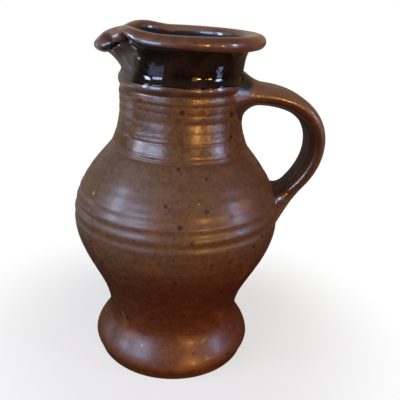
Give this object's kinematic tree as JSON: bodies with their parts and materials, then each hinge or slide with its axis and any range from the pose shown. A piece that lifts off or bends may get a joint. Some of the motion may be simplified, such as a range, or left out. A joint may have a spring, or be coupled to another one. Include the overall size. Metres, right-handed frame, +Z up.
{
  "type": "stoneware jug",
  "caption": "Thrown stoneware pouring jug with a splayed foot, round belly, dark glazed collar, rolled rim with a pulled spout, and a strap handle.",
  "frame": {"origin": "middle of the flat base on the ground", "axes": "+Z up along the axis of the wheel, +X towards the handle, -X towards the spout"},
  "size_m": [0.1848, 0.155, 0.2523],
  "materials": {
    "stoneware": "satin salt-glazed brown stoneware with iron specks and throwing ridges",
    "rim_glaze": "glossy red-brown glaze, thin where it breaks over the roll",
    "liner_glaze": "glossy dark brown-green liner glaze",
    "dark_glaze": "glossy near-black iron glaze",
    "handle_stoneware": "satin to glossy brown stoneware with lengthwise pulling marks"
  },
  "bodies": {
    "root": {"base": "stoneware", "foot": "stoneware", "belly": "stoneware", "shoulder": "stoneware", "neck": "stoneware", "collar": "stoneware", "rim": "rim_glaze", "liner_glaze": "liner_glaze", "collar_glaze": "dark_glaze", "handle_root": "handle_stoneware", "handle": "handle_stoneware", "handle_tail": "handle_stoneware"}
  },
  "joints": []
}
